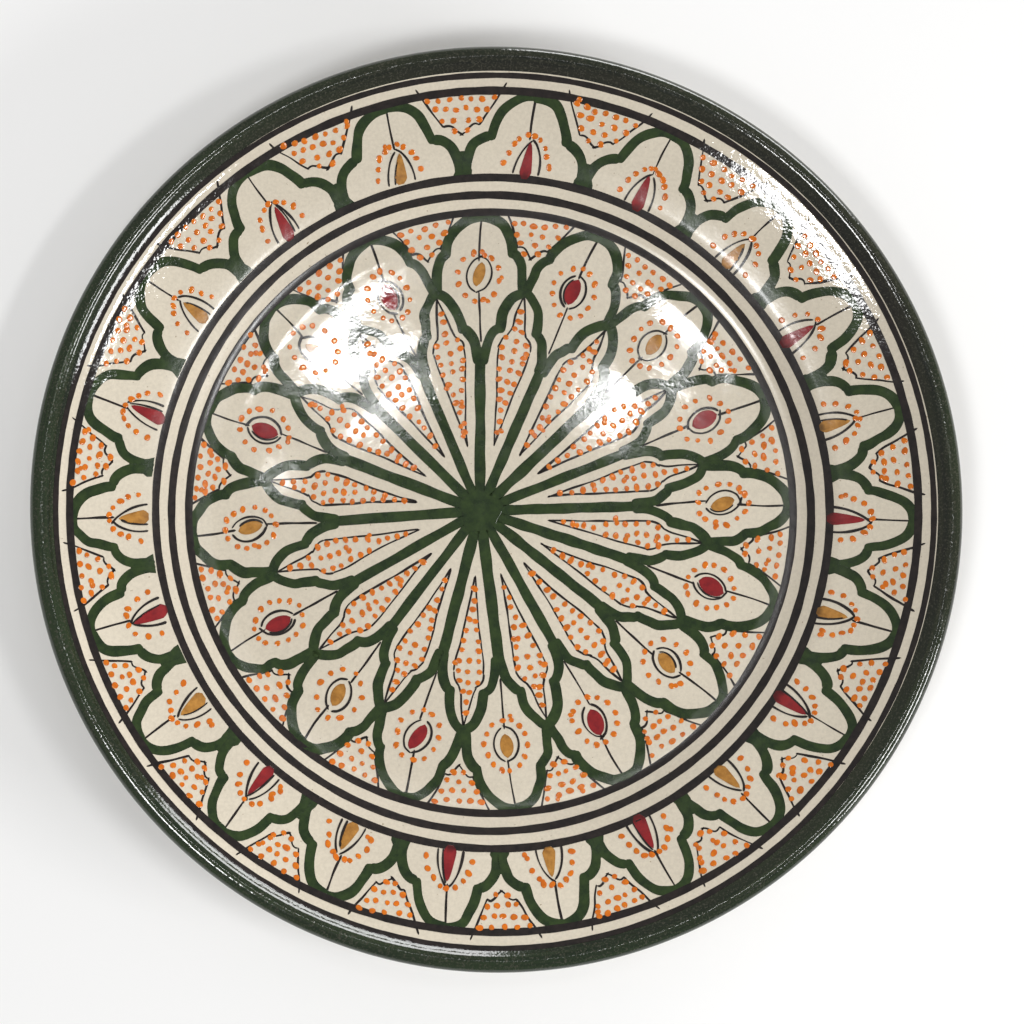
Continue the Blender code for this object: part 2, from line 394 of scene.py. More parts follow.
# Rings of a blob, from its edge inwards: (share of the outline, share of the height)
DOME_RINGS = ((1.0, -0.2), (0.96, 0.45), (0.84, 0.83), (0.62, 0.96), (0.36, 1.0))
FLAT_RINGS = ((1.0, -1.0), (0.985, 1.0), (0.85, 1.0), (0.55, 1.0), (0.28, 1.0))
RING_THREE_EDGE = RING_RADII[2] + LINE_WIDTH / 2
OVER_RING_TONE = 0.38
EDGE_TONE = 0.84


def add_blob(shape, outline, height, lift, rings=FLAT_RINGS, tone=1.0):
    """A raised blob inside an outline that runs anticlockwise, darker where it lies over ring three."""
    plain = np.asarray(outline, float)
    centre = plain.mean(axis=0)
    count = len(plain)
    points, tones = [], []
    for scale, rise in ((1.0, None), *rings, (0.0, 1.0)):
        ring = centre + (plain - centre) * scale
        if scale == 0.0:
            ring = ring[:1]
        radius = np.hypot(ring[:, 0], ring[:, 1])
        over_ring = (radius < RING_THREE_EDGE) & (radius > RING_RADII[2] - LINE_WIDTH)
        ring = off_centre(ring)
        ground = face_height(np.hypot(ring[:, 0], ring[:, 1]))
        level = ground - BURIED if rise is None else ground + lift + rise * height
        points.append(np.concatenate([ring, level[:, None]], 1))
        edge = EDGE_TONE if scale > 0.9 else 1.0
        tones.append(np.where(over_ring, OVER_RING_TONE, edge) * tone)
    faces = [tuple(reversed(range(count)))]
    for ring in range(len(rings)):
        here, there = ring * count, (ring + 1) * count
        for step in range(count):
            after = (step + 1) % count
            faces.append((here + step, here + after, there + after, there + step))
    last = len(rings) * count
    for step in range(count):
        faces.append((last + step, last + (step + 1) % count, last + count))
    shape.add(np.concatenate(points), faces, np.concatenate(tones))


DOT_SIDES = 14
DOT_RADIUS = 1.0
DOT_HEIGHT = 0.14
DOT_LIFT = 0.06
DOT_STRETCHES = (1.0, 1.06, 1.12, 1.2, 1.35)
DOUBLE_SHARE = 0.07
DOUBLE_REACH = 1.5


def add_dot(shape, x, y, hand, size=1.0, lean=None):
    """One dab of thick enamel: round or a little oval, standing proud of the glaze."""
    radius = DOT_RADIUS * size * hand.uniform(0.86, 1.12)
    stretch = hand.choice(DOT_STRETCHES)
    lean = hand.uniform(0, math.pi) if lean is None else lean + hand.uniform(-0.5, 0.5)
    lumps = [(waves, hand.uniform(0.0, 0.06), hand.uniform(0, math.tau)) for waves in (2, 3)]
    outline = []
    for side in range(DOT_SIDES):
        turn = math.tau * side / DOT_SIDES
        reach = radius * (1 + sum(lump * math.cos(waves * turn + phase) for waves, lump, phase in lumps))
        along, over = reach * math.cos(turn) * stretch, reach * math.sin(turn)
        side_x = along * math.cos(lean) - over * math.sin(lean)
        side_y = along * math.sin(lean) + over * math.cos(lean)
        outline.append((x + side_x, y + side_y))
    height = DOT_HEIGHT * hand.uniform(0.7, 1.2) * size
    add_blob(shape, outline, height, DOT_LIFT, DOME_RINGS, hand.uniform(0.86, 1.08))


def dab(shape, x, y, hand, size=1.0, lean=None):
    """Usually one dot, now and then two run together."""
    add_dot(shape, x, y, hand, size, lean)
    if hand.random() < DOUBLE_SHARE:
        turn = hand.uniform(0, math.tau)
        x, y = x + DOUBLE_REACH * math.cos(turn), y + DOUBLE_REACH * math.sin(turn)
        add_dot(shape, x, y, hand, size * 0.9, lean)


# Petals

# The motifs lie a little to one side of the rings: (radius, shift along x, shift along y)
MOTIF_SHIFT = (
    (0, -3.8, 0.7),
    (60, -1.7, 0.7),
    (92, -1.7, 0.7),
    (104, -0.4, 0.1),
    (117, -0.9, 0.1),
    (138, -0.9, 0.1),
    (146, -0.4, 0.0),
)


def shifted(x, y):
    """Move a point of a motif to where it lies among the rings."""
    shift_x, shift_y = drift(MOTIF_SHIFT, math.hypot(x, y))
    return x + float(shift_x), y + float(shift_y)


class Petal:
    """One petal's axis and the half gaps on its two sides."""

    def __init__(self, angles, index, hand):
        following, previous = angles[(index + 1) % len(angles)], angles[index - 1]
        self.angle = angles[index]
        self.left = (following - self.angle) % math.tau / 2
        self.right = (self.angle - previous) % math.tau / 2
        self.hand = hand

    def place(self, radius, share):
        """share is positive on the anticlockwise side."""
        gap = self.left if share > 0 else self.right
        turn = self.angle + share * gap
        return shifted(radius * math.cos(turn), radius * math.sin(turn))

    def beside(self, along, across):
        """A point in millimetres along and across the petal's axis."""
        return shifted(
            along * math.cos(self.angle) - across * math.sin(self.angle),
            along * math.sin(self.angle) + across * math.cos(self.angle),
        )

    def path(self, points, side, unsteady):
        """A curve through (radius, share) points on one side of the axis, each off by up to unsteady."""
        placed = []
        for radius, share in points:
            x, y = self.place(radius, share * side)
            x += self.hand.uniform(-1, 1) * unsteady
            y += self.hand.uniform(-1, 1) * unsteady
            placed.append((x, y))
        return smooth_path(placed)


class Gap(Petal):
    """The space between two petals: its axis is half way, and share 1 is on a petal's axis."""

    def __init__(self, angles, index, hand):
        following = angles[(index + 1) % len(angles)]
        half = (following - angles[index]) % math.tau / 2
        self.angle = angles[index] + half
        self.left = half
        self.right = half
        self.hand = hand


GREEN_HALF = 1.74
GREEN_CROWN = 0.03
GREEN_LIFT = 0.035
LINE_HALF = 0.37
LINE_CROWN = 0.02
LINE_LIFT = 0.02
STROKE_UNSTEADY = 0.25
LINE_UNSTEADY = 0.22

HUB_RADIUS = 7.4
HUB_STEPS = 48
# Lumps in the hub's outline: (number round it, height in mm, phase)
HUB_LUMPS = ((5, 0.6, 0.0), (3, 0.5, 1.0))
HUB_RISE = 0.02
SPOKE_START = 4.0
SPOKE_END = 57.5
SPOKE_HALF = 1.82
SHOULDER_STROKE = ((51.0, 0.07), (55.5, 0.11), (59.3, 0.19), (62.0, 0.31), (63.9, 0.44), (64.5, 0.52))
THROAT_STROKE = (
    (62.6, 0.50), (65.5, 0.515), (69.0, 0.56), (72.0, 0.625), (75.0, 0.76), (77.2, 0.91), (78.4, 1.06),
)
WAIST_STROKE = ((76.6, 0.98), (80.0, 0.935), (84.0, 0.885), (87.2, 0.83), (89.9, 0.73), (91.3, 0.60))
OGEE_STROKE = (
    (89.3, 0.655), (92.4, 0.635), (95.4, 0.585), (98.3, 0.49), (101.0, 0.36), (103.2, 0.19), (104.3, -0.06),
)
MEDALLION_STROKES = (SHOULDER_STROKE, THROAT_STROKE, WAIST_STROKE, OGEE_STROKE)

LEAF_LINE = ((23.0, 0.0), (31.0, 0.17), (40.0, 0.315), (47.0, 0.42), (53.0, 0.475), (57.6, 0.485))
LEAF_HOOK_LINE = ((57.4, 0.50), (59.5, 0.445), (61.0, 0.36), (62.6, 0.22))
LEAF_TIP_LINE = ((61.9, 0.27), (65.0, 0.165), (70.0, 0.10), (76.4, 0.0))
CORNER_SIDE_LINE = ((93.0, 0.27), (96.5, 0.35), (100.5, 0.45), (105.0, 0.56))
CORNER_POINT_LINE = ((89.4, -0.03), (90.8, 0.05), (92.6, 0.13), (93.4, 0.21), (93.2, 0.30))
MEDALLION_LINES = (LEAF_LINE, LEAF_HOOK_LINE, LEAF_TIP_LINE, CORNER_SIDE_LINE, CORNER_POINT_LINE)

STEM_STROKE = ((117.6, 0.955), (121.5, 0.945), (125.0, 0.905), (128.0, 0.82), (130.0, 0.70), (130.9, 0.56))
ARCH_STROKE = (
    (129.4, 0.575), (132.5, 0.545), (136.0, 0.49), (139.5, 0.415), (142.4, 0.30), (144.2, 0.15),
    (144.9, -0.05),
)
BORDER_STROKES = (STEM_STROKE, ARCH_STROKE)
BORDER_SIDE_LINE = ((134.3, 0.25), (137.5, 0.34), (141.0, 0.425), (145.0, 0.52), (148.6, 0.585))
BORDER_POINT_LINE = ((131.4, -0.03), (132.6, 0.06), (134.2, 0.13), (134.9, 0.20), (134.5, 0.27))
BORDER_LINES = (BORDER_SIDE_LINE, BORDER_POINT_LINE)


def add_petal_strokes(shape, petal, strokes, thinnest, thickest, hand):
    """The green strokes on both sides of a petal."""
    for side in (1, -1):
        for points in strokes:
            lift = GREEN_LIFT + hand.uniform(0.004, 0.02)
            path = petal.path(points, side, STROKE_UNSTEADY)
            half = GREEN_HALF * hand.uniform(thinnest, thickest)
            add_stroke(shape, path, half, GREEN_CROWN, lift, hand)


def medallion_strokes(shape):
    hand = random.Random(11)
    hub = []
    for step in range(HUB_STEPS):
        turn = math.tau * step / HUB_STEPS
        lumps = sum(height * math.sin(waves * turn + phase) for waves, height, phase in HUB_LUMPS)
        reach = HUB_RADIUS + lumps
        hub.append((reach * math.cos(turn) + MOTIF_SHIFT[0][1], reach * math.sin(turn) + MOTIF_SHIFT[0][2]))
    add_blob(shape, hub, GREEN_CROWN, GREEN_LIFT + HUB_RISE)
    for index in range(MEDALLION_COUNT):
        petal = Petal(MEDALLION_ANGLES, index, hand)
        spoke = [petal.beside(SPOKE_START, 0.0), petal.beside(SPOKE_END, hand.uniform(-0.4, 0.4))]
        half = SPOKE_HALF * hand.uniform(0.9, 1.08)
        add_stroke(shape, smooth_path(spoke), half, GREEN_CROWN, GREEN_LIFT, hand)
        add_petal_strokes(shape, petal, MEDALLION_STROKES, 0.92, 1.08, hand)


# Half of the foot of a stem, where it spreads out over ring three: (radius, distance from the gap's axis)
STEM_FOOT = ((117.6, 3.5), (119.4, 3.2), (121.0, 2.6), (123.0, 2.1), (126.0, 1.7))
STEM_FOOT_RISE = 0.001


def border_strokes(shape):
    hand = random.Random(23)
    for index in range(BORDER_COUNT):
        gap = Gap(BORDER_ANGLES, index, hand)
        foot = [gap.beside(radius, -across * hand.uniform(0.85, 1.1)) for radius, across in STEM_FOOT]
        foot += [gap.beside(radius, across * hand.uniform(0.85, 1.1)) for radius, across in STEM_FOOT[::-1]]
        add_blob(shape, foot, GREEN_CROWN, GREEN_LIFT + STEM_FOOT_RISE)
        petal = Petal(BORDER_ANGLES, index, hand)
        add_petal_strokes(shape, petal, BORDER_STROKES, 0.9, 1.05, hand)


# Fine lines

LINE_UNEVEN = 0.12


def add_line(shape, path, hand, half=LINE_HALF, lift=LINE_LIFT, taper=(2.0, 3.0)):
    half *= hand.uniform(0.8, 1.15)
    add_stroke(shape, path, half, LINE_CROWN, lift, hand, taper, uneven=LINE_UNEVEN)


# Lines along a petal's axis: (radius, share of the line's lean)
INNER_VEIN = ((59.0, 0.0), (67.0, 0.6), (77.0, 1.0))
OUTER_VEIN = ((87.5, -0.4), (96.0, -1.0), (104.0, -0.8))
BORDER_VEIN = ((130.0, 0.0), (137.0, 0.5), (145.5, 1.0))


def paint_lines(shape, seed, angles, lines, veins, sway):
    """The outlines of the cells between the petals, and the veins along the petals' axes."""
    hand = random.Random(seed)
    for index in range(len(angles)):
        petal = Petal(angles, index, hand)
        gap = Gap(angles, index, hand)
        for side in (1, -1):
            for points in lines:
                add_line(shape, gap.path(points, side, LINE_UNSTEADY), hand)
        lean = hand.uniform(-sway, sway)
        for vein in veins:
            path = [petal.beside(radius, lean * share) for radius, share in vein]
            add_line(shape, smooth_path(path), hand)


def medallion_lines(shape):
    paint_lines(shape, 37, MEDALLION_ANGLES, MEDALLION_LINES, (INNER_VEIN, OUTER_VEIN), 1.2)


def border_lines(shape):
    paint_lines(shape, 41, BORDER_ANGLES, BORDER_LINES, (BORDER_VEIN,), 1.0)


# Painted eyes

# Radius of the middle of the medallion's eyes, and of the foot of the border's
EYE_RADIUS = 82.4
BORDER_EYE_BASE = 118.4

EYE_HEIGHT = 0.03
EYE_LIFT = 0.06
BORDER_EYE_LIFT = 0.10
OUTLINE_LIFT = 0.09
INNER_OUTLINE_LIFT = 0.11
OUTLINE_HALF = 0.40
OUTLINE_TAPER = (1.0, 3.0)

# (length, half width) of the painted shapes, and the length of the outline round a medallion eye
RED_EYE = (9.8, 2.75)
OCHRE_EYE = (8.6, 2.3)
EYE_OUTLINE_LENGTH = 12.6
RED_HALF_EYE = (12.6, 2.05)
OCHRE_HALF_EYE = (10.4, 2.1)
# How far a half eye reaches back over ring three
RED_OVERLAP = 1.5
OCHRE_OVERLAP = 0.2
HALF_EYE_REACH = 12.2
HALF_EYE_OUTLINE_HALF = 4.5

# How often an outline is painted twice
EYE_TWICE = 0.3
HALF_EYE_TWICE = 0.7

# Powers that shape the curves: under 1 is fuller, over 1 is more pointed
ALMOND_POWER = 0.66
ARCH_POINT_POWER = 2.2
ARCH_POWER = 0.82
DROP_POWER = 0.55
DROP_FULLNESS = 1.25
DROP_FOOT = 0.03
DROP_FOOT_RISE = 2.2


def signed_power(value, power):
    return math.copysign(abs(value) ** power, value)


def almond(petal, middle, length, half_width, skew, side, start=0.0, end=1.0, steps=10):
    """One side of a pointed eye. Past its points the line crosses over, as a quick stroke does."""
    points = []
    for step in range(steps + 1):
        share = start + (end - start) * step / steps
        bulge = signed_power(4 * share * (1 - share), ALMOND_POWER)
        across = side * half_width * bulge + skew * (share - 0.5)
        points.append(petal.beside(middle + (share - 0.5) * length, across))
    return points


def medallion_eyes(red, ochre, outlines):
    """Painted eyes of the medallion, with their outlines."""
    hand = random.Random(53)
    for index, node in enumerate(MEDALLION_EYES):
        petal = Petal(MEDALLION_ANGLES, index, hand)
        is_red = eye_is_red(node)
        middle = EYE_RADIUS + hand.uniform(-0.6, 0.6)
        skew = hand.uniform(-2.0, 2.0)
        length, half_width = RED_EYE if is_red else OCHRE_EYE
        blob_middle = middle + hand.uniform(-0.7, 0.7)
        slant = skew * 1.2 + hand.uniform(-0.7, 0.7)
        widths = (half_width * hand.uniform(0.75, 1.2), half_width * hand.uniform(0.75, 1.2))
        outline = almond(petal, blob_middle, length, widths[0], slant, -1)
        outline += almond(petal, blob_middle, length, widths[1], slant, 1)[-2:0:-1]
        add_blob(red if is_red else ochre, outline, EYE_HEIGHT, EYE_LIFT)
        for side in (1, -1):
            start, end = hand.uniform(-0.03, 0.04), 1 + hand.uniform(-0.04, 0.05)
            half = hand.uniform(3.8, 4.6)
            path = almond(petal, middle, EYE_OUTLINE_LENGTH, half, skew, side, start, end)
            add_line(outlines, smooth_path(path, EYE_SPACING), hand, OUTLINE_HALF, OUTLINE_LIFT)
            if hand.random() < EYE_TWICE:
                path = almond(petal, blob_middle, length + 0.8, half_width + 0.4, slant, side, 0.02, 0.9)
                half = OUTLINE_HALF * 0.85
                add_line(outlines, smooth_path(path, EYE_SPACING), hand, half, INNER_OUTLINE_LIFT)


def half_arch(petal, reach, half_width, skew, side, end, steps=9):
    """One side of the pointed arch over a half eye, from the ring up to the point or just past it."""
    points = []
    for step in range(steps + 1):
        share = end * step / steps
        spread = signed_power(1 - share**ARCH_POINT_POWER, ARCH_POWER)
        across = side * half_width * spread + skew * share
        points.append(petal.beside(BORDER_EYE_BASE + reach * share, across))
    return points


def drop_outline(petal, start, length, half_width, skew, steps=12):
    """A drop that is blunt at its foot, widest low down and pointed at its top."""
    left, right = [], []
    for step in range(steps + 1):
        share = step / steps
        foot = min(1.0, DROP_FOOT_RISE * math.sqrt(share + DROP_FOOT))
        width = DROP_FULLNESS * half_width * foot * (1 - share) ** DROP_POWER
        along, middle = start + length * share, skew * (share - 0.2)
        left.append(petal.beside(along, middle + width))
        right.append(petal.beside(along, middle - width))
    return right + left[-2::-1]


def border_eyes(red, ochre, outlines):
    """Half eyes that grow out of the ring at the foot of each border petal."""
    hand = random.Random(67)
    for index, node in enumerate(BORDER_EYES):
        petal = Petal(BORDER_ANGLES, index, hand)
        is_red = eye_is_red(node)
        skew = hand.uniform(-1.6, 1.6)
        reach = HALF_EYE_REACH + hand.uniform(-0.8, 1.2)
        length, half_width = RED_HALF_EYE if is_red else OCHRE_HALF_EYE
        start = BORDER_EYE_BASE - (RED_OVERLAP if is_red else OCHRE_OVERLAP)
        slant = skew + hand.uniform(-1.0, 1.0)
        outline = drop_outline(petal, start, length, half_width * hand.uniform(0.9, 1.1), slant)
        add_blob(red if is_red else ochre, outline, EYE_HEIGHT, BORDER_EYE_LIFT)
        inner_side = hand.choice((1, -1))
        for side in (1, -1):
            end = 1 + hand.uniform(-0.06, 0.05)
            half = HALF_EYE_OUTLINE_HALF * hand.uniform(0.88, 1.08)
            path = smooth_path(half_arch(petal, reach, half, skew, side, end), EYE_SPACING)
            add_line(outlines, path, hand, OUTLINE_HALF, OUTLINE_LIFT, OUTLINE_TAPER)
            if side == inner_side and hand.random() < HALF_EYE_TWICE:
                path = half_arch(petal, length - 0.6, half_width + 0.3, slant, side, 0.97)
                path = smooth_path(path, EYE_SPACING)
                add_line(outlines, path, hand, OUTLINE_HALF * 0.9, INNER_OUTLINE_LIFT, OUTLINE_TAPER)


# Dots

# The cells that hold rows of dots, as (radius, share), and the radii of their rows
LEAF_CELL = LEAF_LINE + LEAF_HOOK_LINE[1:] + LEAF_TIP_LINE[1:]
LEAF_ROWS = np.arange(28.0, 73.5, 3.6)
CORNER_CELL = ((90.0, 0.06), *CORNER_SIDE_LINE)
CORNER_ROWS = (91.8, 95.2, 98.6, 102.0)
BORDER_CELL = ((132.0, 0.04), *BORDER_SIDE_LINE)
BORDER_ROWS = (133.2, 136.7, 140.2, 143.4)
DOT_PITCH = 3.9
LEAF_MARGIN = 1.1
CORNER_MARGIN = 1.2

# Half sizes of the rounds of dots about an eye, along and across its petal, and the size of their dots
EYE_ROUND = (8.9, 7.3)
ARCH_ROUND = (13.2, 7.9)
ROUND_DOT_SIZE = 0.97


def share_at(points, radius):
    radii, shares = zip(*points)
    return float(np.interp(radius, radii, shares))


def fill_rows(shape, gap, outline, radii, margin, hand):
    """Rows of dots across a cell, each row as long as the cell is wide there."""
    slope = hand.uniform(-0.15, 0.15)
    for radius in radii:
        half = share_at(outline, radius) * gap.left * radius - margin
        count = max(1, int(round(2 * max(half, 0.0) / DOT_PITCH + hand.uniform(-0.25, 0.25))) + 1)
        for spot in range(count):
            across = 0.0 if count == 1 else half * (2 * spot / (count - 1) - 1)
            along = radius + slope * across + hand.uniform(-0.5, 0.5)
            x, y = gap.beside(along, across + hand.uniform(-0.45, 0.45))
            dab(shape, x, y, hand, lean=gap.angle + math.pi / 2)


def medallion_dots(leaves, corners, rings):
    hand = random.Random(71)
    for index in range(MEDALLION_COUNT):
        petal = Petal(MEDALLION_ANGLES, index, hand)
        gap = Gap(MEDALLION_ANGLES, index, hand)
        fill_rows(leaves, gap, LEAF_CELL, LEAF_ROWS, LEAF_MARGIN, hand)
        fill_rows(corners, gap, CORNER_CELL, CORNER_ROWS, CORNER_MARGIN, hand)
        count = hand.choice((11, 12, 12, 13, 14))
        start = hand.uniform(0, math.tau)
        for spot in range(count):
            turn = start + math.tau * spot / count
            along = EYE_RADIUS + EYE_ROUND[0] * math.cos(turn) + hand.uniform(-0.5, 0.5)
            across = EYE_ROUND[1] * math.sin(turn) + hand.uniform(-0.5, 0.5)
            dab(rings, *petal.beside(along, across), hand, ROUND_DOT_SIZE)


def border_dots(corners, arches):
    hand = random.Random(83)
    for index in range(BORDER_COUNT):
        petal = Petal(BORDER_ANGLES, index, hand)
        gap = Gap(BORDER_ANGLES, index, hand)
        fill_rows(corners, gap, BORDER_CELL, BORDER_ROWS, CORNER_MARGIN, hand)
        count = hand.choice((8, 9, 9, 10, 10))
        for spot in range(count):
            turn = math.pi * (0.06 + 0.88 * spot / (count - 1))
            along = BORDER_EYE_BASE + ARCH_ROUND[0] * math.sin(turn) ** 0.9 + hand.uniform(-0.45, 0.45)
            across = ARCH_ROUND[1] * math.cos(turn) + hand.uniform(-0.5, 0.5)
            dab(arches, *petal.beside(along, across), hand, ROUND_DOT_SIZE)


# Painted rings

RING_CROWN = 0.03
RING_LIFT = 0.07
RING_STEPS = 720
RIM_LINE_RADIUS = 150.85
RIM_LINE_HALF = 0.9


def ring_line(radius, half_width, seed):
    shape = Shape()
    hand = random.Random(seed)
    wander = [(waves, hand.uniform(0.05, 0.16), hand.uniform(0, math.tau)) for waves in (1, 2, 3, 5)]
    path = []
    for step in range(RING_STEPS):
        turn = math.tau * step / RING_STEPS
        reach = radius + sum(size * math.sin(waves * turn + phase) for waves, size, phase in wander)
        path.append((reach * math.cos(turn), reach * math.sin(turn)))
    add_stroke(shape, path, half_width, RING_CROWN, RING_LIFT, hand, closed=True)
    return shape


# Materials

class Nodes:
    """A material's node tree, with short ways to add and join nodes."""

    def __init__(self, name):
        self.material = bpy.data.materials.new(name)
        self.material.use_nodes = True
        self.tree = self.material.node_tree
        self.shader = self.tree.nodes["Principled BSDF"]
        self.coordinates = self.add("ShaderNodeTexCoord").outputs["Object"]

    def add(self, kind, **settings):
        node = self.tree.nodes.new(kind)
        for key, value in settings.items():
            setattr(node, key, value)
        return node

    def link(self, output, socket):
        self.tree.links.new(output, socket)

    def noise(self, scale, detail=2.0, roughness=0.5):
        """Noise with scale features per metre."""
        node = self.add("ShaderNodeTexNoise")
        node.inputs["Scale"].default_value = scale
        node.inputs["Detail"].default_value = detail
        node.inputs["Roughness"].default_value = roughness
        self.link(self.coordinates, node.inputs["Vector"])
        return node.outputs["Fac"]

    def spread(self, value, low, high, out_low=0.0, out_high=1.0):
        """Map low to high onto out_low to out_high, and hold the ends beyond."""
        node = self.add("ShaderNodeMapRange")
        node.inputs["From Min"].default_value = low
        node.inputs["From Max"].default_value = high
        node.inputs["To Min"].default_value = out_low
        node.inputs["To Max"].default_value = out_high
        self.link(value, node.inputs["Value"])
        return node.outputs["Result"]

    def math(self, operation, first, second):
        node = self.add("ShaderNodeMath", operation=operation)
        for socket, value in zip(node.inputs, (first, second)):
            if isinstance(value, (int, float)):
                socket.default_value = value
            else:
                self.link(value, socket)
        return node.outputs[0]

    def mix(self, factor, first, second, blend="MIX"):
        node = self.add("ShaderNodeMix", data_type="RGBA", blend_type=blend)
        if isinstance(factor, (int, float)):
            node.inputs["Factor"].default_value = factor
        else:
            self.link(factor, node.inputs["Factor"])
        for socket, value in ((node.inputs[6], first), (node.inputs[7], second)):
            if isinstance(value, tuple):
                socket.default_value = (*value, 1.0)
            else:
                self.link(value, socket)
        return node.outputs[2]

    def shade(self, colour, value):
        """Darken or lighten a colour by a number."""
        grey = self.add("ShaderNodeCombineColor")
        for socket in grey.inputs:
            self.link(value, socket)
        return self.mix(1.0, colour, grey.outputs[0], "MULTIPLY")

    def place(self):
        """The x, y and z outputs of the place on the plate, in metres."""
        parts = self.add("ShaderNodeSeparateXYZ")
        self.link(self.coordinates, parts.inputs[0])
        return parts.outputs

    def radius(self):
        """Distance from the plate's axis, in metres."""
        x, y, z = self.place()
        flat = self.add("ShaderNodeCombineXYZ")
        self.link(x, flat.inputs[0])
        self.link(y, flat.inputs[1])
        length = self.add("ShaderNodeVectorMath", operation="LENGTH")
        self.link(flat.outputs[0], length.inputs[0])
        return length.outputs["Value"]

    def turned_noise(self, along, across, detail=2.0):
        """Noise drawn out along circles round the axis, in features per turn and per metre."""
        x, y, z = self.place()
        radius = self.radius()
        spot = self.add("ShaderNodeCombineXYZ")
        for side, socket in ((x, spot.inputs[0]), (y, spot.inputs[1])):
            unit = self.math("DIVIDE", side, radius)
            self.link(self.math("MULTIPLY", unit, along), socket)
        self.link(self.math("MULTIPLY", radius, across), spot.inputs[2])
        node = self.add("ShaderNodeTexNoise")
        node.inputs["Scale"].default_value = 1.0
        node.inputs["Detail"].default_value = detail
        self.link(spot.outputs[0], node.inputs["Vector"])
        return node.outputs["Fac"]

    def tone(self):
        return self.add("ShaderNodeAttribute", attribute_name="tone").outputs["Fac"]

    def bump(self, layers):
        """layers are (height output, distance in metres, strength)."""
        normal = None
        for height, distance, strength in layers:
            node = self.add("ShaderNodeBump")
            node.inputs["Strength"].default_value = strength
            node.inputs["Distance"].default_value = distance
            self.link(height, node.inputs["Height"])
            if normal is not None:
                self.link(normal, node.inputs["Normal"])
            normal = node.outputs["Normal"]
        self.link(normal, self.shader.inputs["Normal"])


# Roughness of the glossiest and the dullest spots
GLAZE_ROUGHNESS = (0.03, 0.07)
PAINT_ROUGHNESS = (0.03, 0.10)
RIM_ROUGHNESS = (0.05, 0.14)
GLAZE_IOR = 1.55

# In metres, from the plate's axis: where the wall's duller glaze begins and ends, and where the
# ripples grow from the well's to the flange's
WALL_FOOT = (0.0985, 0.1010)
WALL_TOP = (0.122, 0.128)
RIPPLE_GROWTH = (0.100, 0.130)
WALL_DULLNESS = 0.15
FLANGE_RIPPLE = 4.4

# Heights of the glaze's ripples in the well, in metres
BROAD_RIPPLE = 0.000012
FINE_RIPPLE = 0.000014
GLAZE_GRAIN = 0.0000036
RIM_GRAIN = 0.0000075


def glaze_surface(nodes, roughness, grain=GLAZE_GRAIN):
    """The gloss and ripples that every glazed piece shares. The flange is more rippled than the well,
    and the glaze is duller where it ran down the steep wall between them."""
    nodes.shader.inputs["IOR"].default_value = GLAZE_IOR
    nodes.shader.inputs["Metallic"].default_value = 0.0
    gloss = nodes.spread(nodes.noise(120.0, 3.0), 0.3, 0.7, *roughness)
    wall_foot = nodes.spread(nodes.radius(), *WALL_FOOT, 0.0, WALL_DULLNESS)
    wall_top = nodes.spread(nodes.radius(), *WALL_TOP, WALL_DULLNESS, 0.0)
    dullness = nodes.math("MINIMUM", wall_foot, wall_top)
    nodes.link(nodes.math("ADD", gloss, dullness), nodes.shader.inputs["Roughness"])
    rippled = nodes.spread(nodes.radius(), *RIPPLE_GROWTH, 1.0, FLANGE_RIPPLE)
    nodes.bump((
        (nodes.noise(30.0, 1.0), BROAD_RIPPLE, 1.0),
        (nodes.math("MULTIPLY", nodes.noise(300.0, 2.0, 0.6), rippled), FINE_RIPPLE, 1.0),
        (nodes.math("MULTIPLY", nodes.noise(1100.0, 1.0), rippled), grain, 1.0),
    ))


def cream_glaze():
    nodes = Nodes("cream_glaze")
    clouds = nodes.spread(nodes.noise(14.0, 3.0), 0.35, 0.65)
    colour = nodes.mix(clouds, (0.610, 0.547, 0.440), (0.660, 0.595, 0.480))
    colour = nodes.shade(colour, nodes.spread(nodes.noise(900.0, 2.0, 0.7), 0.35, 0.65, 0.93, 1.04))
    pits = nodes.spread(nodes.noise(800.0, 1.0), 0.775, 0.79)
    colour = nodes.mix(pits, colour, (0.33, 0.26, 0.18))
    nodes.link(colour, nodes.shader.inputs["Base Color"])
    glaze_surface(nodes, GLAZE_ROUGHNESS)
    return nodes.material


def pigment(name, dark, light, scale):
    """Painted colour under glaze: uneven in strength, and darker where it pooled."""
    nodes = Nodes(name)
    patches = nodes.spread(nodes.noise(scale, 4.0, 0.65), 0.32, 0.68)
    colour = nodes.shade(nodes.mix(patches, dark, light), nodes.tone())
    nodes.link(colour, nodes.shader.inputs["Base Color"])
    glaze_surface(nodes, PAINT_ROUGHNESS)
    return nodes.material


